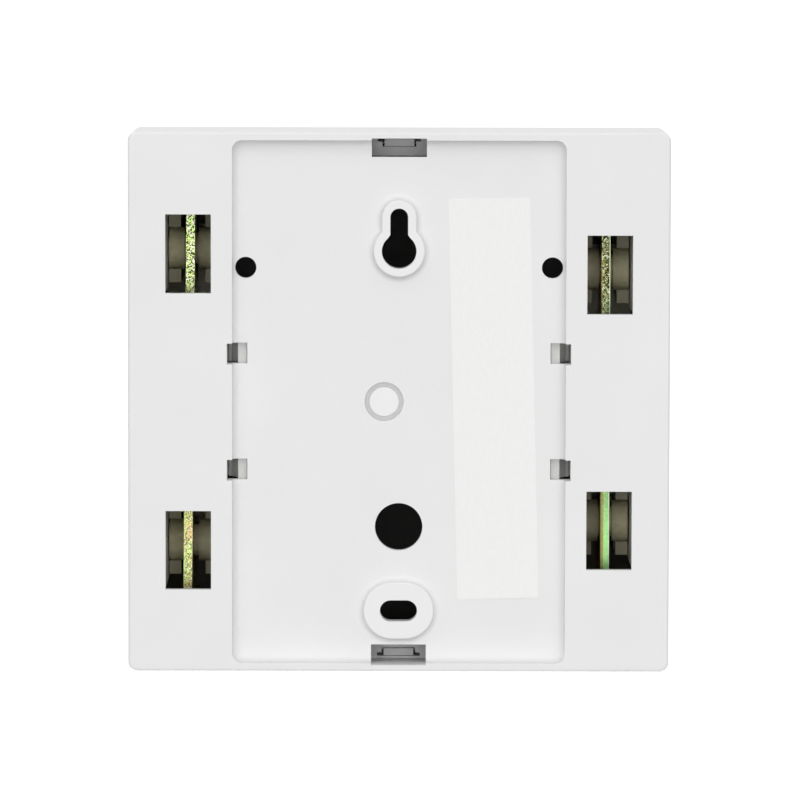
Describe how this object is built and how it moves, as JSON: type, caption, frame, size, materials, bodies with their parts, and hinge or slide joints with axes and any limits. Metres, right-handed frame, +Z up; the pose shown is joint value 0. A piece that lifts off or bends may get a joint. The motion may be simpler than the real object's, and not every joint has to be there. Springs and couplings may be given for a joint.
{
  "type": "doorbell chime box",
  "caption": "Square wall-mounted two-tone doorbell chime: tray with keyhole and slots, clip-on cover, solenoid plunger striking steel tone plates.",
  "frame": {"origin": "centre of the square back, on the plane of the wall", "axes": "+Z up, +Y out of the back into the wall, -Y towards the room; seen from behind +X is on the left"},
  "size_m": [0.125, 0.044, 0.125],
  "materials": {
    "case_plastic": "fine matte white ABS, moulded",
    "frame_plastic": "natural white ABS, moulded",
    "plated_steel": "zinc plated steel, yellow passivated",
    "grommet_rubber": "cream rubber, matte",
    "label_paper": "smooth white paper, blank",
    "nylon": "natural nylon, moulded",
    "copper_wire": "enamelled copper wire, wound",
    "coil_tape": "yellow polyester tape",
    "yoke_steel": "zinc plated sheet steel",
    "core_steel": "turned steel",
    "spring_steel": "drawn spring wire",
    "terminal_plastic": "white polyamide, moulded",
    "terminal_brass": "turned brass",
    "screw_steel": "zinc plated steel",
    "lead_insulation": "PVC insulation"
  },
  "bodies": {
    "base": {"rear_base": "case_plastic", "mechanism_frame": "frame_plastic", "long_tone_plate": "plated_steel", "short_tone_plate": "plated_steel", "long_plate_upper_grommet": "grommet_rubber", "long_plate_lower_grommet": "grommet_rubber", "short_plate_upper_grommet": "grommet_rubber", "short_plate_lower_grommet": "grommet_rubber", "solenoid_bobbin": "nylon", "copper_winding": "copper_wire", "coil_tape": "coil_tape", "solenoid_yoke": "yoke_steel", "yoke_plate": "yoke_steel", "yoke_screws": "screw_steel", "return_spring": "spring_steel", "terminal_block": "terminal_plastic", "terminal_block_screw": "screw_steel", "first_terminal_cage": "terminal_brass", "second_terminal_cage": "terminal_brass", "first_terminal_screw": "screw_steel", "second_terminal_screw": "screw_steel", "first_coil_lead": "lead_insulation", "second_coil_lead": "lead_insulation", "blank_label": "label_paper"},
    "cover": {"front_cover": "case_plastic"},
    "plunger": {"plunger_core": "core_steel", "long_plate_striker": "nylon", "short_plate_striker": "nylon", "spring_clip": "spring_steel"}
  },
  "joints": [
    {"name": "cover_release", "type": "slide", "parent": "base", "child": "cover", "axis": [0, -1, 0], "range_m": [0, 0.045]},
    {"name": "plunger_slide", "type": "slide", "parent": "base", "child": "plunger", "axis": [1, 0, 0], "range_m": [-0.0015, 0.004], "stiffness_N_per_m": 60, "deforming": ["return_spring"]}
  ]
}
